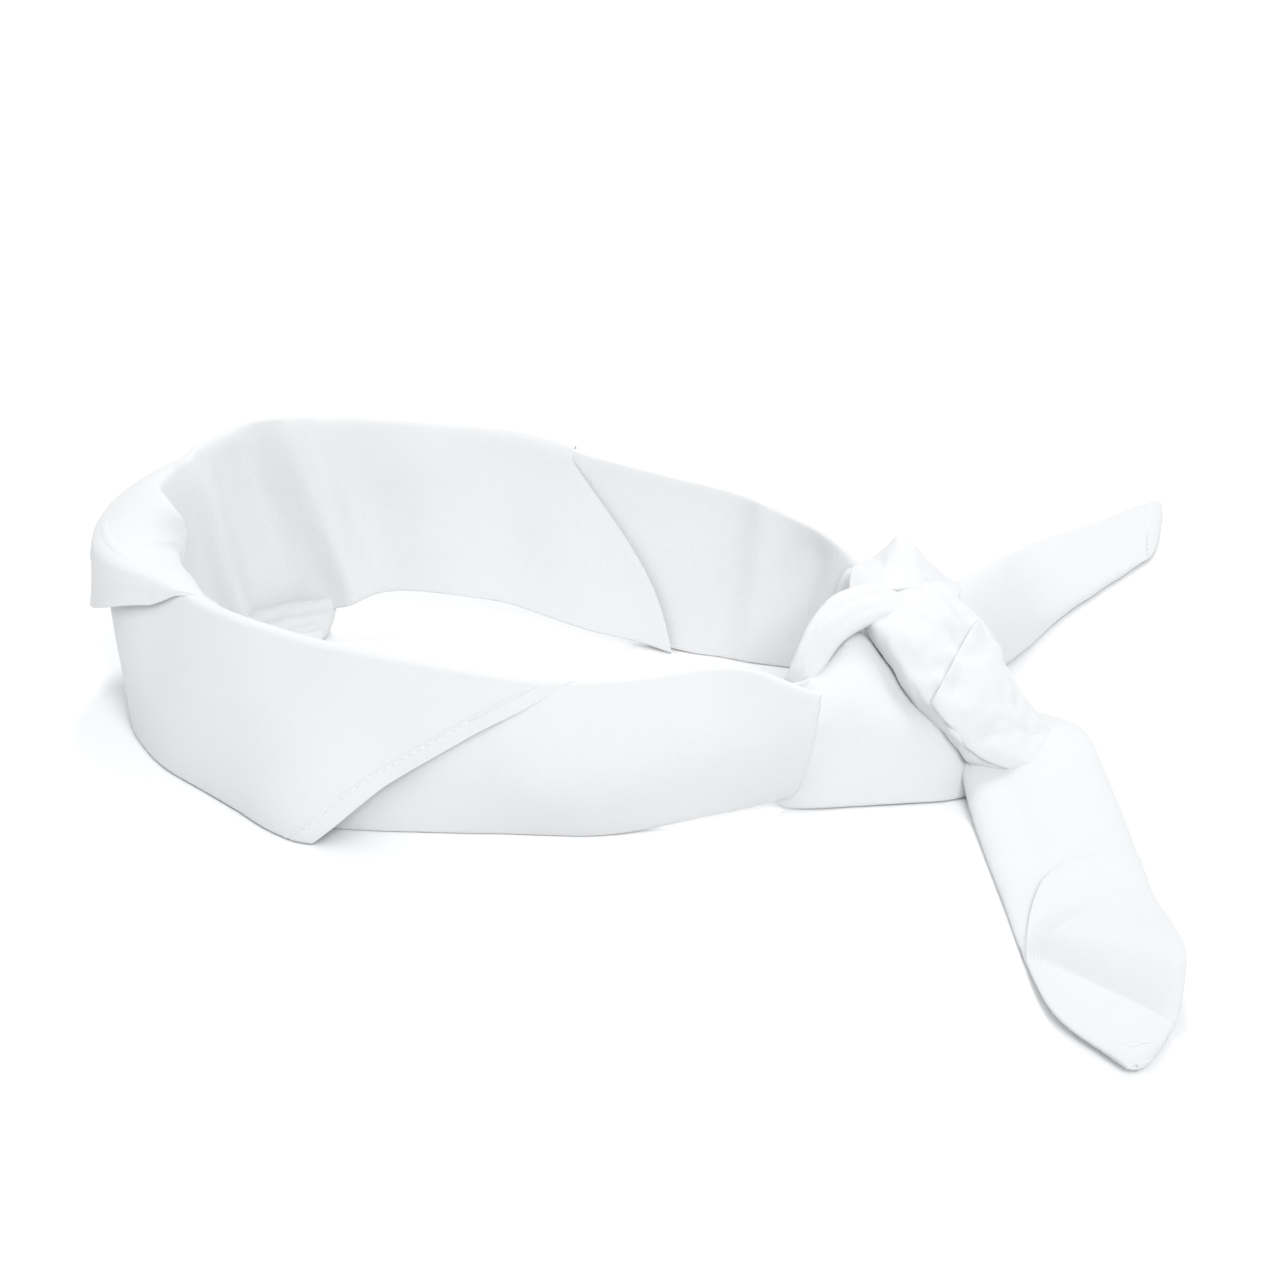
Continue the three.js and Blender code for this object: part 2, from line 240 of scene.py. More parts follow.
def crumpled(grid, closed, amount, size, seed):
    """Moves the points a little in and out, as handled cloth does."""
    rolled = np.concatenate([grid[:, -1:], grid, grid[:, :1]], 1) if closed else grid
    across = np.gradient(rolled, axis=1)
    if closed:
        across = across[:, 1:-1]
    normal = unit(np.cross(np.gradient(grid, axis=0), across))
    shift = np.array((seed * 7.3, seed * 3.1, seed * 5.7))
    push = np.array([noise.noise(Vector(p / size + shift)) for p in grid.reshape(-1, 3)])
    fine = np.array([noise.noise(Vector(p / (size * 0.37) - shift)) for p in grid.reshape(-1, 3)])
    push = (push + 0.35 * fine).reshape(grid.shape[:2])
    moved = grid + normal * (push * amount)[..., None]
    moved[..., 2] = np.maximum(moved[..., 2], FLOOR_GAP)
    return moved


def piece(name, grid, closed=False, thick=0.0, crumple=0.0, size=18.0, seed=1, smooth=1):
    """A named cloth object from a grid of points in millimetres."""
    grid = np.asarray(grid, float)
    if crumple:
        grid = crumpled(grid, closed, crumple, size, seed)
    rows, cols = grid.shape[:2]
    around = cols if closed else cols - 1
    faces = [
        (i + j, i + (j + 1) % cols, i + cols + (j + 1) % cols, i + cols + j)
        for i in range(0, (rows - 1) * cols, cols)
        for j in range(around)
    ]
    if closed:
        half = cols // 2
        for row, flip in ((0, True), (rows - 1, False)):
            for j in range(half - 1):
                ring = [row * cols + k for k in (j, j + 1, cols - 2 - j, cols - 1 - j)]
                if len(set(ring)) == 4:
                    faces.append(tuple(reversed(ring)) if flip else tuple(ring))
    mesh = bpy.data.meshes.new(name)
    mesh.from_pydata([tuple(p) for p in to_scene(grid).reshape(-1, 3)], [], faces)
    along = lengths(grid, 0) * MM
    ring = np.concatenate([grid, grid[:, :1]], 1) if closed else grid
    over = lengths(ring, 1) * MM
    uv = mesh.uv_layers.new(name="cloth")
    for k, polygon in enumerate(mesh.polygons):
        low_col = k % around if k < (rows - 1) * around else None
        for loop in polygon.loop_indices:
            i, j = divmod(mesh.loops[loop].vertex_index, cols)
            if low_col is not None and closed and j == 0 and low_col == cols - 1:
                j = cols
            uv.data[loop].uv = (along[i], over[j])
    mesh.shade_smooth()
    obj = add_object(name, mesh)
    if thick:
        solid = obj.modifiers.new("cloth thickness", "SOLIDIFY")
        solid.thickness = thick * MM
        solid.offset = 0
    if smooth:
        soft = obj.modifiers.new("rounded folds", "SUBSURF")
        soft.levels = soft.render_levels = smooth
    made[name] = obj
    return obj


# %% [markdown]
# The band itself is a flat tube of many layers. Its section goes up the outside, over the rim,
# down the inside and under the foot. The knot end closes in a rounded fold.

# %% The section of the flat band
SIDE = np.linspace(0, 1, 15)
ARC = np.linspace(0, math.pi, 7)[1:-1]
SECTION_SIDE = np.concatenate([SIDE, np.ones(5), SIDE[::-1], np.zeros(5)])
SECTION_OUT = np.concatenate([np.ones(15), np.cos(ARC), -np.ones(15), -np.cos(ARC)])
SECTION_LIFT = np.concatenate([np.zeros(15), np.sin(ARC), np.zeros(15), -np.sin(ARC) * 0.5])

# %% The band from the knot round to the knot
END_BULGE = 0.05
END_ROWS = (-0.10, -0.098, -0.09, -0.07, -0.04)
u_rows = np.concatenate([np.array(END_ROWS), np.linspace(0, LAST, 190)])
closing = np.sqrt(np.clip(1 - (np.clip(-u_rows, 0, 0.1) / 0.1) ** 2, 0.02, 1))
h_rows = (trace(HALF, np.clip(u_rows, 0, LAST)) * closing)[:, None]
U, SHARE = np.meshgrid(u_rows, SECTION_SIDE, indexing="ij")
low, high = 0.5 * h_rows / BAND_WIDTH, 1 - h_rows / BAND_WIDTH
V = low + (high - low) * SHARE
near_end = np.exp(-((U / 0.6) ** 2))
U = U - END_BULGE * 4 * V * (1 - V) * near_end
crest = 2.2 * np.exp(-(((U - 0.6) / 0.4) ** 2)) * V**3
lift = h_rows * SECTION_LIFT[None] + crest
band = piece("band", wall(U, V, h_rows * SECTION_OUT[None], lift), closed=True)
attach(band, "headband")
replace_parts(band, "front_wall_core", "left_turn_core", "back_wall_core")
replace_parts(band, "front_wall_face", "back_right_face")
print("band:", len(u_rows), "rows of", len(SECTION_SIDE), "points")

# %% [markdown]
# ## The hemmed corner over the front
# One corner of the square comes over the rim and down the front. Its hem crosses the band on a
# slant and its tip stands a little proud at the table. The hem is a narrow raised border with a
# groove where the stitching pulls it in.

# %% Distances measured from the hem
HEM_WIDTH = 4.4
HEM_RISE = 0.45
STITCH_LINE = 3.7
SQUARE_TO_HEM = 12.5
CORNER_GAP = 0.55
TIP_STAND = 7.5
TIP_STATION = 5.88
OUTSIDE = BAND_WIDTH + 1.5  # from the top of the rim down to the table


def hem_station(share):
    """Where the hem crosses, for a share of the way up the outside that may go on over the rim."""
    return TIP_STATION - 3.25 * share


def hem_profile(w):
    """How much further out the sheet's face is at w mm from its hemmed edge."""
    border = HEM_RISE / (1 + np.exp(np.clip((w - HEM_WIDTH) / 0.12, -50, 50)))
    groove = 0.32 * np.exp(-(((w - STITCH_LINE) / 0.3) ** 2))
    return border - groove


def corner_stand(u, share):
    """The corner curls away from the wall near its tip."""
    gap = np.hypot((u - TIP_STATION) * STATION, share * BAND_WIDTH)
    return TIP_STAND * np.exp(-((gap / 24.0) ** 2))


# %% The corner fold
hem_rows = np.array(
    (0.0, 0.25, 0.7, 1.4, 2.2, 2.9, 3.3, 3.55, 3.7, 3.85, 4.1, 4.3, 4.5, 4.7, 5.1, 6.0, 8.0)
)
run = np.concatenate([np.linspace(OUTSIDE, 5, 30), np.linspace(4, -4, 9), np.linspace(-6, -15, 5)])
up_share = 1 - run / OUTSIDE
LEFT_END = 13.2 - 1.3 * up_share
rows_u = [hem_station(up_share) + w / SQUARE_TO_HEM for w in hem_rows]
rows_w = [np.full_like(run, w) for w in hem_rows]
for f in np.linspace(0, 1, 54)[1:]:
    start = hem_station(up_share) + hem_rows[-1] / SQUARE_TO_HEM
    rows_u.append(start + (LEFT_END - start) * f)
    rows_w.append((rows_u[-1] - hem_station(up_share)) * SQUARE_TO_HEM)
U, W = np.array(rows_u), np.array(rows_w)
stand = corner_stand(U, up_share) * (run > 0)
last_part = np.clip((LEFT_END - U) / 0.9, 0, 1)
sink = 1.3 * (1 - last_part * last_part * (3 - 2 * last_part))
flush = 0.9 * np.clip((14 - run) / 12, 0, 1) * np.exp(-W / 7)
corner_grid = hug(U, run, CORNER_GAP - sink - flush * 0.6, off=stand + hem_profile(W) - flush)
corner = piece("corner_fold", corner_grid, thick=0.6)
print("corner fold:", len(rows_u), "rows of", len(run), "points")
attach(corner, "headband")
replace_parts(corner, "front_left_face", "corner_hem")

# %% [markdown]
# ## The layer that lines the back and flops over the turn
# One layer runs up the inside from a slanting edge on the rear wall all the way round to the
# left turn. There it flops outward over the rim like a collar, slopes away from the wall and
# ends in a loose edge. Along the rear wall it only just turns over the rim.


# %% The lining with its collar
def back_edge(share):
    """Where the lining's rear edge is, for a share of the way up the inside."""
    return 20.62 - 1.93 * share + 0.3 * share * (1 - share)


COLLAR = [
    # station, how far the ridge stands in from the wall, length outside, flare of the loose edge
    (7.7, 0, 0.2, 0),
    (8.3, 3, 0.8, 0.2),
    (9.0, 10, 2.4, 0.6),
    (9.7, 18, 5.0, 1.4),
    (10.4, 22, 9.0, 2.2),
    (11.2, 20, 12.0, 2.6),
    (12.0, 15, 12.0, 2.2),
    (12.8, 9, 10.0, 1.6),
    (13.6, 4, 8.0, 1.0),
    (14.4, 1, 6.0, 0.5),
    (15.2, 0, 4.5, 0),
    (21.0, 0, 3.5, 0),
]
COLLAR_AT = [row[0] for row in COLLAR]
LINING_START = 7.7
OVER_RIM = 3.4  # how far below the rim the bend over it starts and ends
UP = np.linspace(0.004, 1, 28)
OVER = np.linspace(0, 5, 17)[1:]
DOWN = np.linspace(0, 1, 18)[1:]
print("the collar stands in by up to", max(row[1] for row in COLLAR), "mm")


# %% One row of the lining
def smooth_look(u, column):
    """A column of the collar's table at u, rounded off so that no kink shows."""
    values = [row[column] for row in COLLAR]
    near = np.linspace(-0.5, 0.5, 9)
    return np.mean([np.interp(u + d, COLLAR_AT, values) for d in near], axis=0)


def lining_row(u_of_share, deeper):
    """One row of the lining: up the inside, over the ridge and the top, and down the outside."""
    share = np.concatenate([UP, np.ones(len(OVER) + len(DOWN))])
    u = u_of_share(share)
    at_top = float(u[-1])
    h = float(trace(HALF, at_top))
    turn = float(np.clip((12.6 - at_top) / 1.2, 0, 1))
    t = h + 0.75 + 1.0 * turn * turn * (3 - 2 * turn) - 0.35 * float(np.clip(at_top - 17, 0, 1))
    d = max(t, float(smooth_look(at_top, 1)))
    extra = d - t
    reached = float(np.clip((at_top - LINING_START) / 1.3, 0.04, 1))
    rim = BAND_WIDTH
    bend = [
        (-d, rim - 2.4),
        (-d + 0.9, rim + 0.3 + 0.02 * extra),
        (-d + 0.5 * (d + t), rim + 0.8 + 0.07 * extra),
        (t - 0.9, rim + 0.2 - 0.05 * extra),
        (t + 0.1 * extra, rim - 2.0 - 0.16 * extra),
        (t + 0.12 * extra, rim - OVER_RIM - 0.2 * extra),
    ]
    bend = trace(bend, OVER * reached)
    length, flare = float(smooth_look(at_top, 2)), float(smooth_look(at_top, 3))
    inside = -(t + deeper * (1 - UP**4) + extra * UP**1.5)
    out = np.concatenate([inside, bend[:, 0], bend[-1, 0] + flare * DOWN**1.3])
    height = np.concatenate([(rim - OVER_RIM) * UP, bend[:, 1], bend[-1, 1] - length * DOWN])
    v = np.clip(height / rim, 0, 0.93)
    return wall(u, v, out, height - v * rim)


# %% The lining itself
lining = []
for f in np.concatenate([[0.0, 0.0008, 0.002], np.linspace(0.005, 1, 170)]):
    proud = 1.5 * math.exp(-((f / 0.04) ** 2)) + 0.15
    lining.append(lining_row(lambda q: back_edge(q) + (LINING_START - back_edge(q)) * f, proud))
lining_piece = piece("lining_and_collar", lining, thick=0.6)
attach(lining_piece, "headband")
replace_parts(lining_piece, "left_turn_lip", "left_turn_lining", "back_left_face")
print("lining:", len(lining), "rows of", len(lining[0]), "points")

# %% [markdown]
# ## Gathered strands
# In the knot the cloth is bunched into soft strands. Each is given by the lines of its two edges
# and by how far it swells above and below them.


# %% A strand from its two edges
def strand_points(stations, t, angle, extra=0.0, wide=1.0):
    """Points of a strand at places t along it and angles round it."""
    t, angle = np.broadcast_arrays(t, angle)
    edge_left, edge_right, swell_above, swell_below = ([s[k] for s in stations] for k in range(4))
    left, right = trace(edge_left, t), trace(edge_right, t)
    above, below = trace(swell_above, t), trace(swell_below, t)
    ahead = trace(edge_left, t + 0.05) + trace(edge_right, t + 0.05)
    behind = trace(edge_left, t - 0.05) + trace(edge_right, t - 0.05)
    up = unit(np.cross(ahead - behind, right - left))
    height = np.where(np.sin(angle) > 0, above, below) + extra
    x = np.cos(angle)
    y = np.sign(np.sin(angle)) * np.abs(np.sin(angle)) ** 0.8
    sideways = (right - left) / 2 * (wide * x)[..., None]
    return (left + right) / 2 + sideways + up * (height * y)[..., None]


def strand(
    name, stations, body="headband", rows=44, around=32, close=0.35,
    replaces=(), pleats=(), shape=None, **cloth,
):
    """A closed strand with rounded ends and pleats pressed along it."""
    last = len(stations) - 1
    tip, toe = [0.0, 0.01, 0.04, 0.1], [last - 0.1, last - 0.04, last - 0.01, last]
    t = np.concatenate([tip, np.linspace(0.2, last - 0.2, rows), toe])
    near = np.minimum(t, last - t) / close
    closing = np.sqrt(np.clip(1 - (1 - np.clip(near, 0, 1)) ** 2, 0.01, 1))
    angle = np.linspace(0, 2 * math.pi, around, endpoint=False) + math.pi / around
    T, A = np.meshgrid(t, angle, indexing="ij")
    grid = strand_points(stations, T, A)
    middle = (trace([s[0] for s in stations], T) + trace([s[1] for s in stations], T)) / 2
    grid = middle + (grid - middle) * closing[:, None, None]
    out = unit(grid - middle)
    for place, depth, width in pleats:
        turn = np.angle(np.exp(1j * (A - place)))
        dent = depth * np.exp(-((turn / width) ** 2)) * closing[:, None]
        grid = grid - out * dent[..., None]
    grid[..., 2] = np.maximum(grid[..., 2], FLOOR_GAP)
    if shape:
        grid = shape(grid)
    obj = piece(name, grid, closed=True, **cloth)
    if body:
        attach(obj, body)
    if replaces:
        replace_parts(obj, *replaces)
    return obj


# %% A soft patch through rows of points
def patch(name, rows, thick=0.9, fine=36, body="headband", replaces=(), **cloth):
    """A sheet through rows of points, smooth both ways."""
    rows = np.asarray(rows, float)
    down = trace(rows, np.linspace(0, len(rows) - 1, fine))
    across = trace(down.transpose(1, 0, 2), np.linspace(0, rows.shape[1] - 1, fine + 8))
    obj = piece(name, across.transpose(1, 0, 2), thick=thick, **cloth)
    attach(obj, body)
    if replaces:
        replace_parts(obj, *replaces)
    return obj


# %% [markdown]
# ## The knot
# A lower strand comes out from behind the front wall and passes under a broad wrap. A narrow
# side strand rises behind it, a pointed fold stands on top, and a rear strand takes the back
# wall in. The order in which they overlap is what makes it read as a knot.

# %% The lower strand, a flat fold with a pointed top
LOWER = [
    [(38, -62, 0.6), (42, -62.5, 0.6), (48, -62.5, 0.6), (58, -61.5, 0.5),
     (70, -60, 0.5), (82, -58.5, 0.5), (92, -54, 0.5)],
    [(29, -64, 12), (38, -62, 12), (47, -60, 12), (58, -59, 11),
     (71, -57, 10), (83, -54, 9), (93, -48, 7)],
    [(26, -65, 22), (37, -60, 21), (47, -54, 22), (58, -51, 22),
     (71, -49, 19), (83, -47, 15), (92, -42, 10)],
    [(27, -65, 31), (38, -59, 29), (47, -46, 27), (57, -39, 31),
     (69, -40, 23), (81, -40, 15), (90, -35, 9)],
    [(28, -65, 38), (38, -58, 34), (47, -40, 28), (57, -28, 35),
     (66, -31, 28), (77, -34, 17), (87, -31, 9)],
    [(30, -61, 37), (40, -53, 32), (50, -32, 26), (58, -22, 31),
     (66, -24, 24), (76, -28, 14), (85, -26, 7)],
]
patch(
    "knot_lower_cloth", LOWER, replaces=["knot_lower_strand"],
    thick=1.2, crumple=0.55, size=13, seed=11,
)

# %% The side strand that rises behind it
SIDE_RISE = [
    ((46, -52, 2), (37, -44, 2), 2.4, 2),
    ((45, -49, 11), (36, -40, 11), 2.2, 2),
    ((44, -45, 19), (37, -36, 20), 2, 2),
    ((46, -42, 25), (40, -38, 29), 2.2, 2.5),
    ((50, -38, 30), (44, -32, 37), 2.4, 3),
    ((55, -34, 35.5), (49, -25, 42), 2.4, 3),
    ((61, -30, 38), (57, -20, 44.5), 2.4, 3),
    ((68, -27, 39), (65, -18, 44), 2.2, 3),
    ((75, -26, 36), (72, -18, 41), 2, 2),
]
strand(
    "knot_side_cloth", SIDE_RISE, replaces=["knot_side_strand"], crumple=0.5, size=8, seed=12,
    pleats=[(1.25, 0.8, 0.14), (2.0, 0.5, 0.12)],
)

# %% The broad wrap
WRAP = [
    ((57, -6, 33), (78, 6, 34), 3, 6),
    ((60, -24, 38), (84, -6, 38), 4.5, 8),
    ((64.5, -33, 35), (89, -14, 35.5), 5, 9),
    ((70, -40.5, 29), (94, -20, 31.5), 5.5, 10),
    ((76, -47, 23), (98, -27, 27.5), 5.5, 10),
    ((81, -51.5, 19), (99, -33, 25), 5, 10),
    ((86, -55, 14), (103, -38, 21), 4.5, 8),
    ((92, -58, 11), (107, -43, 17), 4, 6),
    ((99, -60, 9.5), (112, -48, 12), 3, 4),
    ((106, -61, 8.5), (114, -54, 9), 2.5, 3),
]
WRAP_PLEATS = [(0.8, 0.9, 0.14), (1.3, 0.8, 0.12), (1.9, 1.1, 0.13), (2.5, 0.9, 0.13)]
WRAP_LOOK = {"crumple": 1.5, "size": 9, "seed": 13}  # both layers crumple alike
strand(
    "knot_wrap_cloth", WRAP, replaces=["knot_wrap"],
    pleats=WRAP_PLEATS, rows=60, around=48, **WRAP_LOOK,
)
rows = []
x_wrap = np.linspace(-1, 1, 34)
start_wrap = 3.35 - 0.75 * x_wrap
for f in np.linspace(0, 1, 40):
    t = start_wrap + (8.75 - start_wrap) * f
    raised = 0.9 + 0.7 * math.exp(-((f / 0.08) ** 2))
    rows.append(strand_points(WRAP, t, np.arccos(x_wrap * 0.97), extra=raised))
over_wrap = piece("knot_wrap_over", rows, thick=0.9, **WRAP_LOOK)
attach(over_wrap, "headband")

# %% The pointed fold on top
TOP = [
    [(57, -14, 38), (64, -17, 41.5), (72, -17, 42.5), (81, -13, 39.5), (88, -8, 34)],
    [(58, -6, 40), (65, -8, 43.5), (72, -8, 45), (80, -6, 41.5), (89, -2, 34)],
    [(60, 2, 39.5), (66, 2, 43.5), (72.5, 3, 49), (80, 1, 42), (89, 4, 33)],
    [(61, 7, 34), (67, 8.5, 38), (73, 9.5, 42), (81, 8, 35), (90, 9, 27)],
    [(60, 11, 25), (67, 13, 27), (74, 14, 29), (82, 13, 25), (91, 12, 18)],
]
patch(
    "knot_top_cloth", TOP, replaces=["knot_top_fold"], thick=1.0, crumple=0.9, size=8, seed=14
)

# %% The strands at the back and inside
REAR = [
    ((50, 0, 2), (56, 13, 34), 4, 4),
    ((62, -4, 2), (66, 11, 35), 6, 6),
    ((76, -6, 2), (78, 11, 31), 8, 6),
    ((89, -4, 2), (90, 12, 24), 6, 5),
    ((98, 2, 2), (97, 12, 14), 4, 4),
]
strand(
    "knot_rear_cloth", REAR, replaces=["knot_rear_strand"], crumple=0.8, size=12, seed=15,
    pleats=[(1.2, 1.2, 0.2)],
)
HEART = [
    ((44, -54, 2), (48, -30, 20), 3, 5),
    ((56, -47, 2), (60, -12, 27), 6, 8),
    ((72, -47, 2), (74, -8, 28), 7, 9),
    ((88, -42, 2), (90, -10, 22), 6, 8),
    ((102, -34, 2), (102, -12, 12), 4, 5),
]
strand("knot_heart", HEART, replaces=["knot_core"], crumple=0.8, size=12, seed=16)
print("knot:", sum(name.startswith("knot") for name in made), "pieces")

# %% [markdown]
# ## The two tails
# The front tail comes out from under the wrap and runs forward over the table. Its end is turned
# over, which shows as a second layer with a curved edge and a deep crease across it. The back
# tail leans against the knot, twists and lies flat, and ends in a slanting hem.

# %% The front tail's shape
FRONT = [
    ((89, -28, 5), (111, -26, 6), 5, 5),
    ((87, -41, 6), (118, -37, 11), 5, 6),
    ((86, -53, 6), (121, -48, 13), 5.5, 7),
    ((87, -66, 3), (124, -62, 9), 6.0, 4),
    ((89, -86, 1.6), (127, -82, 5), 5.6, 2),
    ((91.5, -110, 1.5), (128.5, -108, 2.6), 4.2, 1.5),
    ((94, -136, 1.5), (130, -132, 2), 2.6, 1.3),
    ((98, -160, 1.5), (129.5, -154, 1.6), 1.4, 1.3),
    ((108, -175, 1.3), (123, -170, 1.4), 1.2, 1.2),
    ((113, -182, 1.2), (117, -180.5, 1.2), 1.0, 1.0),
]
VALLEY_START = np.array((86.0, -127.5))
VALLEY_END = np.array((123.0, -163.0))
VALLEY_SLOPE = 0.95
WEDGE = 0.3


def creased(points):
    """Lifts the tail above a slanting valley. A flat facet rises from it to a soft ridge."""
    along = unit(VALLEY_END - VALLEY_START)
    from_start = points[..., :2] - VALLEY_START
    run = np.clip(from_start @ along, 0, 70)
    gap = from_start @ np.array((-along[1], along[0]))
    ends = np.clip((run - 6) / 9, 0, 1), np.clip((68 - run) / 20, 0, 1)
    ridge = 1.5 + WEDGE * np.minimum(run, 44)
    rise = np.clip(gap / ridge, 0, 1)  # nought at the valley, one on the ridge
    beyond = np.maximum(gap - ridge, 0)
    swell = ridge * (rise - 0.25 * rise**3) * np.exp(-((beyond / (19 + ridge)) ** 2))
    swell = swell * ends[0] * ends[1]
    below = 1.2 * (1 - np.exp(np.minimum(gap, 0) / 5))
    ripple = np.array([noise.noise(Vector((*p[:2], 5.0)) / 19) for p in points.reshape(-1, 3)])
    loose = np.clip(points[..., 2] / 2, 0, 1)
    moved = points.copy()
    moved[..., 2] += VALLEY_SLOPE * swell + below + 0.9 * ripple.reshape(gap.shape) * loose
    moved[..., 2] = np.maximum(moved[..., 2], FLOOR_GAP)
    return moved


# %% The front tail and its turned end
front_tail = strand(
    "front_tail_cloth", FRONT, body=None, rows=150, around=64, close=0.2,
    shape=creased, pleats=[(2.1, 1.1, 0.24)],
)
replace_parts(front_tail, "front_tail", "front_tail_root", "front_tail_hem")
x_cols = np.linspace(-1, 1, 56)
start_t = 4.5 + 0.1 * (1 - x_cols) + 1.4 * ((1 - x_cols) / 2) ** 5
rows = []
for f in np.linspace(0, 1, 110):
    t = start_t + (8.93 - start_t) * f
    sunk = np.clip((t - 8.45) / 0.4, 0, 1)
    hem = 0.3 / (1 + np.exp(-(t - 8.1) / 0.012))
    lift = 0.55 + 0.5 * math.exp(-((f / 0.04) ** 2)) + hem - 1.3 * sunk * sunk
    angle = np.arccos(x_cols * 0.985)
    rows.append(strand_points(FRONT, t, angle, extra=lift, wide=1.03 - 0.03 * sunk))
turned = piece("front_tail_end", creased(np.array(rows)), thick=0.55)
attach(turned, "front_tail")
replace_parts(turned, "front_tail_turned_end")

# %% The back tail
BACK = [
    ((92, -18, 12), (80, -6, 33), 4, 6),
    ((96, -4, 9), (86, 7, 31), 5, 7),
    ((103, 10, 4), (95, 22, 28), 5, 6),
    ((112, 25, 2), (103, 38, 24), 4, 4),
    ((124, 44, 1.6), (112, 64, 14), 3, 2.5),
    ((138, 62, 1.5), (128, 88, 8), 2.4, 1.6),
    ((152, 79, 1.5), (146, 108, 3.5), 1.8, 1.4),
    ((159, 88, 1.3), (158, 120, 2), 1.3, 1.2),
    ((164, 106, 1.1), (168, 128, 1.1), 1.0, 1.0),
]
back_tail = strand(
    "back_tail_cloth", BACK, body=None, rows=90, around=40, close=0.2,
    crumple=0.5, size=22, seed=31,
)
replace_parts(back_tail, "back_tail", "back_tail_face", "back_tail_root", "back_tail_hem")

# %% The crumpled roll at the foot of the turn
ROLLS = {
    "turn_roll": (
        ((-132, 15, 0.8), (-127, 27, 5), 3, 1),
        ((-120, 20, 0.8), (-115, 34, 8), 4, 1),
        ((-108, 25, 0.8), (-104, 39, 9), 4, 1),
        ((-98, 30, 0.8), (-95, 43, 9), 4, 1),
        ((-91, 34, 1.0), (-89, 46, 9), 3, 2),
    ),
    "turn_roll_under": (
        ((-124, 13, 0.6), (-120, 24, 2), 2.6, 0.6),
        ((-112, 17, 0.6), (-109, 29, 3), 3.2, 0.6),
        ((-101, 21, 0.6), (-99, 34, 4), 3.4, 0.6),
        ((-93, 27, 0.6), (-91, 39, 5), 2.4, 0.6),
    ),
}
for name, stations in ROLLS.items():
    replaced = ["bottom_roll"] if name == "turn_roll" else []
    strand(
        name, stations, replaces=replaced, crumple=0.9, size=7, seed=41,
        pleats=[(1.2, 1.0, 0.2), (2.1, 0.9, 0.2)],
    )

# %% [markdown]
# ## Stitches
# Hems are held by a row of short stitches. Each one is a small pad of thread laid in the
# groove, and the next begins a little further on.


# %% Rows of stitches
def stitches(name, centres, normals, body, length=1.9, width=0.42, pitch=2.7):
    """Lays stitches along a line of points given in millimetres."""
    run = np.concatenate([[0], np.cumsum(np.linalg.norm(np.diff(centres, axis=0), axis=1))])

    def at(line, place):
        return np.array([np.interp(place, run, line[:, axis]) for axis in range(3)])

    verts, faces = [], []
    for k in range(int(run[-1] // pitch)):
        mid = (k + 0.5) * pitch
        ends = [mid - length / 2, mid - length * 0.3, mid + length * 0.3, mid + length / 2]
        rings = []
        for s, full in zip(ends, (0.3, 1, 1, 0.3)):
            c, ahead, behind = (at(centres, place) for place in (s, s + 0.3, s - 0.3))
            n = unit(at(normals, s))
            side = unit(np.cross(n, ahead - behind))
            turn = np.linspace(0, 2 * math.pi, 6, endpoint=False)
            spokes = [side * math.cos(a) + n * math.sin(a) for a in turn]
            rings.append([c + spoke * width / 2 * full for spoke in spokes])
        base = len(verts)
        verts += [p for ring in rings for p in ring]
        for i in range(3):
            for j in range(6):
                a, b = base + i * 6 + j, base + i * 6 + (j + 1) % 6
                faces.append((a, b, b + 6, a + 6))
        faces += [tuple(base + 5 - j for j in range(6)), tuple(base + 18 + j for j in range(6))]
    mesh = bpy.data.meshes.new(name)
    mesh.from_pydata([tuple(p) for p in to_scene(verts)], [], faces)
    mesh.shade_smooth()
    obj = add_object(name, mesh)
    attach(obj, body)
    made[name] = obj
    return obj


# %% Stitch the three hems
run_line = np.linspace(BAND_WIDTH, 12, 50)
share_line = 1 - run_line / OUTSIDE
u_line = hem_station(share_line) + STITCH_LINE / SQUARE_TO_HEM
off_line = corner_stand(u_line, share_line) + hem_profile(STITCH_LINE) + 0.38
seam = hug(u_line, run_line, CORNER_GAP, off=off_line)
seam_normals = unit(hug(u_line, run_line, CORNER_GAP, off=off_line + 1) - seam)
seam_stitches = stitches("corner_stitches", seam, seam_normals, "headband")
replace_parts(seam_stitches, "corner_hem_stitches")


def tail_seam(stations, t0, x0, t1, x1, lift, shape=None):
    """A line across a tail, from one place (t, x) to another, and the cloth's normals there."""
    t = np.linspace(t0, t1, 40)
    angle = np.arccos(np.linspace(x0, x1, 40))
    line, above = (strand_points(stations, t, angle, extra=lift + more) for more in (0, 1))
    if shape:
        line, above = shape(line), shape(above)
    return line, unit(above - line)


front_seam = tail_seam(FRONT, 8.3, -0.75, 8.2, 0.8, 1.22, shape=creased)
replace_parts(stitches("front_tail_hem_stitches", *front_seam, "front_tail"), "front_tail_stitches")
back_seam = tail_seam(BACK, 6.6, -0.9, 7.6, 0.85, 0.15)
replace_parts(stitches("back_tail_hem_stitches", *back_seam, "back_tail"), "back_tail_stitches")
print("pieces so far:", len(made))
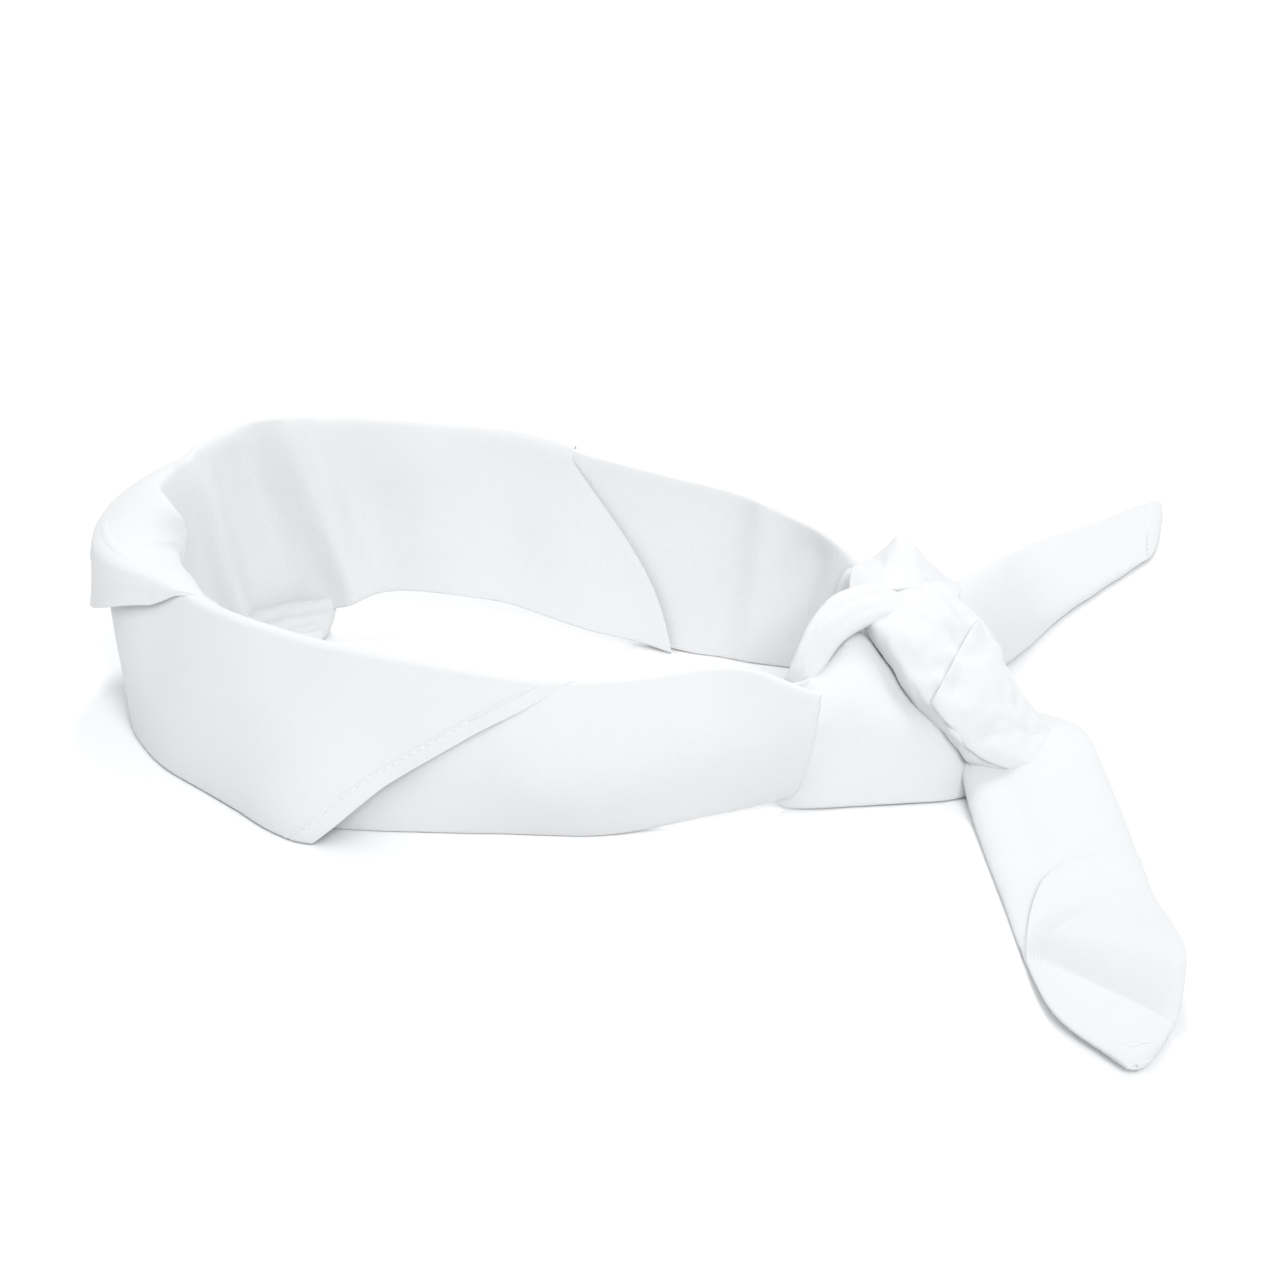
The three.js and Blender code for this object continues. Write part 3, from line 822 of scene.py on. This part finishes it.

# %% [markdown]
# ## White cotton
# Plain-weave cotton is matt, with a soft sheen where fibres stand off the surface. Threads cross at
# right angles, about two to the millimetre, and because the square is folded on the bias they run
# slantwise along the band. The weave, the slight unevenness of colour and a painted shade between
# the threads are one node group.


# %% The weave as a node group
def weave_group():
    """Colour, roughness and height of crossing threads, with slubs, cloudy unevenness and painted
    shade between them.
    """
    group = bpy.data.node_groups.new("plain weave", "ShaderNodeTree")
    face = group.interface
    number, colour = "NodeSocketFloat", "NodeSocketColor"
    for label, value in (("Threads per metre", 2200.0), ("Turn", 0.785), ("Unevenness", 0.05)):
        face.new_socket(label, in_out="INPUT", socket_type=number).default_value = value
    tint = face.new_socket("Colour", in_out="INPUT", socket_type=colour)
    tint.default_value = (0.8, 0.8, 0.79, 1)
    for label, kind in (("Colour", colour), ("Roughness", number), ("Height", number)):
        face.new_socket(label, in_out="OUTPUT", socket_type=kind)
    nodes, links = group.nodes, group.links

    def new(kind, **settings):
        node = nodes.new(kind)
        for key, value in settings.items():
            setattr(node, key, value)
        return node

    def maths(operation, a, b=None):
        node = new("ShaderNodeMath", operation=operation)
        for slot, x in enumerate((a, b)):
            if x is None:
                continue
            if isinstance(x, (int, float)):
                node.inputs[slot].default_value = x
            else:
                links.new(x, node.inputs[slot])
        return node.outputs[0]

    given, put = new("NodeGroupInput"), new("NodeGroupOutput")
    cloth = new("ShaderNodeUVMap", uv_map="cloth")
    turn = new("ShaderNodeVectorRotate", rotation_type="Z_AXIS")
    links.new(cloth.outputs[0], turn.inputs["Vector"])
    links.new(given.outputs["Turn"], turn.inputs["Angle"])
    scale = new("ShaderNodeVectorMath", operation="SCALE")
    links.new(turn.outputs[0], scale.inputs[0])
    links.new(given.outputs["Threads per metre"], scale.inputs["Scale"])
    split = new("ShaderNodeSeparateXYZ")
    links.new(scale.outputs[0], split.inputs[0])
    warp = maths("SINE", maths("MULTIPLY", split.outputs[0], math.pi))
    weft = maths("SINE", maths("MULTIPLY", split.outputs[1], math.pi))
    crossing = maths("MULTIPLY", warp, weft)
    threads = maths("MAXIMUM", maths("ABSOLUTE", warp), maths("ABSOLUTE", weft))
    height = maths("ADD", maths("MULTIPLY", crossing, 0.35), maths("MULTIPLY", threads, 0.5))
    slub = new("ShaderNodeTexNoise")
    slub.inputs["Scale"].default_value = 0.35
    slub.inputs["Detail"].default_value = 3.0
    links.new(scale.outputs[0], slub.inputs["Vector"])
    cloud = new("ShaderNodeTexNoise")
    cloud.inputs["Scale"].default_value = 60.0
    cloud.inputs["Detail"].default_value = 4.0
    links.new(cloth.outputs[0], cloud.inputs["Vector"])
    slubs, clouds = (maths("MULTIPLY", n.outputs["Fac"], k) for n, k in ((slub, 0.6), (cloud, 0.4)))
    uneven = maths("ADD", slubs, clouds)
    shade = maths("SUBTRACT", 1.0, maths("MULTIPLY", uneven, given.outputs["Unevenness"]))
    # Painted shade: the colour goes a little darker in the low places between the threads.
    painted_weave_shade = maths("ADD", 0.97, maths("MULTIPLY", height, 0.03))
    tone = new("ShaderNodeVectorMath", operation="SCALE")
    links.new(given.outputs["Colour"], tone.inputs[0])
    links.new(maths("MULTIPLY", shade, painted_weave_shade), tone.inputs["Scale"])
    links.new(tone.outputs[0], put.inputs["Colour"])
    links.new(maths("ADD", 0.82, maths("MULTIPLY", uneven, 0.14)), put.inputs["Roughness"])
    slub_height = maths("MULTIPLY", slub.outputs["Fac"], 0.6)
    links.new(maths("ADD", height, slub_height), put.inputs["Height"])
    return group


weave = weave_group()


# %% Cotton with that weave
def cotton(name, colour, turn, bump=0.22, threads=2400.0, sheen=0.15):
    """A matt cotton whose threads are turned by an angle from the piece's own length."""
    material = bpy.data.materials.new(name)
    material.use_nodes = True
    nodes, links = material.node_tree.nodes, material.node_tree.links
    shader = nodes["Principled BSDF"]
    cloth = nodes.new("ShaderNodeGroup")
    cloth.node_tree = weave
    cloth.inputs["Colour"].default_value = (*colour, 1)
    cloth.inputs["Turn"].default_value = turn
    cloth.inputs["Threads per metre"].default_value = threads
    relief = nodes.new("ShaderNodeBump")
    relief.inputs["Strength"].default_value = bump
    relief.inputs["Distance"].default_value = 0.00012
    links.new(cloth.outputs["Colour"], shader.inputs["Base Color"])
    links.new(cloth.outputs["Roughness"], shader.inputs["Roughness"])
    links.new(cloth.outputs["Height"], relief.inputs["Height"])
    links.new(relief.outputs["Normal"], shader.inputs["Normal"])
    shader.inputs["Sheen Weight"].default_value = sheen
    shader.inputs["Sheen Roughness"].default_value = 0.5
    shader.inputs["Specular IOR Level"].default_value = 0.2
    return material


WHITE = (0.702, 0.702, 0.701)
BIAS = math.radians(45)
on_bias = cotton("white cotton on the bias", WHITE, BIAS)
with_hem = cotton("white cotton along the hem", WHITE, math.radians(57))
thread = cotton("white thread", (0.82, 0.82, 0.81), 0.0, bump=0.2, threads=6000.0)
for name, obj in made.items():
    stitched = name.endswith("stitches")
    woven = with_hem if name == "corner_fold" else on_bias
    obj.data.materials.append(thread if stitched else woven)
    if stitched:
        obj.data.uv_layers.new(name="cloth")
print("materials:", sorted(material.name for material in (on_bias, with_hem, thread)))


# %% [markdown]
# Two were changed later with their shapes, and one, the wrap's upper layer, to pass the area
# check. They don't come from a worked-out fold of the whole square, so they are estimates.

# %% [markdown]
# ## Table, light and camera
# A white table, an even sky and two broad soft lights, one above and behind and one in front,
# give the bright, low-contrast look of cloth on a white sweep: only the folds and the places
# where it meets the table go grey. A weak light from the left and a narrow one on the rear wall's
# inside keep those from going dark.

# %% The table
table = bpy.data.meshes.new("table")
reach = 6.0  # metres from its middle to its edge
corners = [(-reach, -reach, 0), (reach, -reach, 0), (reach, reach, 0), (-reach, reach, 0)]
table.from_pydata(corners, [], [(0, 1, 2, 3)])
table_top = add_object("table", table)
table_top.location.z = float(packed_box[0][2])
sweep = bpy.data.materials.new("white sweep")
sweep.use_nodes = True
matt = sweep.node_tree.nodes["Principled BSDF"].inputs
matt["Base Color"].default_value = (0.93, 0.93, 0.93, 1)
matt["Roughness"].default_value = 0.9
table.materials.append(sweep)

# %% The light
world = bpy.data.worlds.new("studio")
world.use_nodes = True
sky = world.node_tree.nodes["Background"].inputs
sky["Color"].default_value = (0.95, 0.972, 1.0, 1)
sky["Strength"].default_value = 0.71
bpy.context.scene.world = world
MIDDLE = (0, 0, 0)
PLAIN, COOL = (1.0, 1.0, 1.0), (0.97, 0.985, 1.0)


def hang_lamp(name, lamp, place, aim):
    """Puts a lamp at one place of the pattern and turns it to another, both in millimetres."""
    obj = add_object(name, lamp)
    obj.location = to_scene(place)
    gaze = Vector(to_scene(aim)) - obj.location
    obj.rotation_euler = gaze.to_track_quat("-Z", "Y").to_euler()


def softbox(name, place, size, power, colour):
    """A round soft lamp aimed at the middle of the pattern."""
    lamp = bpy.data.lights.new(name, "AREA")
    lamp.shape = "DISK"
    lamp.size = size
    lamp.energy = power
    lamp.color = colour
    hang_lamp(name, lamp, place, MIDDLE)


softbox("key", (60, 800, 1100), 0.35, 8.0, PLAIN)
softbox("fill", (330, -960, 960), 0.6, 8.6, COOL)
softbox("bounce", (-1050, -380, 620), 0.6, 1.3, COOL)

# %% A narrow light for the inside of the rear wall
inside = bpy.data.lights.new("inside", "SPOT")
inside.energy = 7.0
inside.spot_size = math.radians(25)
inside.spot_blend = 1.0
inside.shadow_soft_size = 0.12
hang_lamp("inside", inside, (10, -380, 900), (-15, 62, 30))
print("lamps:", sorted(lamp.name for lamp in bpy.data.lights))

# %% The camera
LOOK_AT = to_scene((0, 0, 18))
CAMERA_DISTANCE = 0.850
CAMERA_HEIGHT = math.radians(28)
lens = bpy.data.cameras.new("camera")
lens.lens = 85
lens.sensor_width = 36
camera = add_object("camera", lens)
away = Vector((0, -math.cos(CAMERA_HEIGHT), math.sin(CAMERA_HEIGHT)))
camera.location = Vector(LOOK_AT) + away * CAMERA_DISTANCE
camera.rotation_euler = (-away).to_track_quat("-Z", "Y").to_euler()
bpy.context.scene.camera = camera
bpy.context.scene.view_settings.view_transform = "Standard"

# %% Bake the two tails' placement into their meshes
start, end = (tuple(to_scene(place)) for place in ((104, -56, 10), (104, -74, 8)))
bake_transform(front_tail)
start, end = (tuple(to_scene(place)) for place in ((106, 32, 12), (117, 47, 8)))
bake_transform(back_tail)
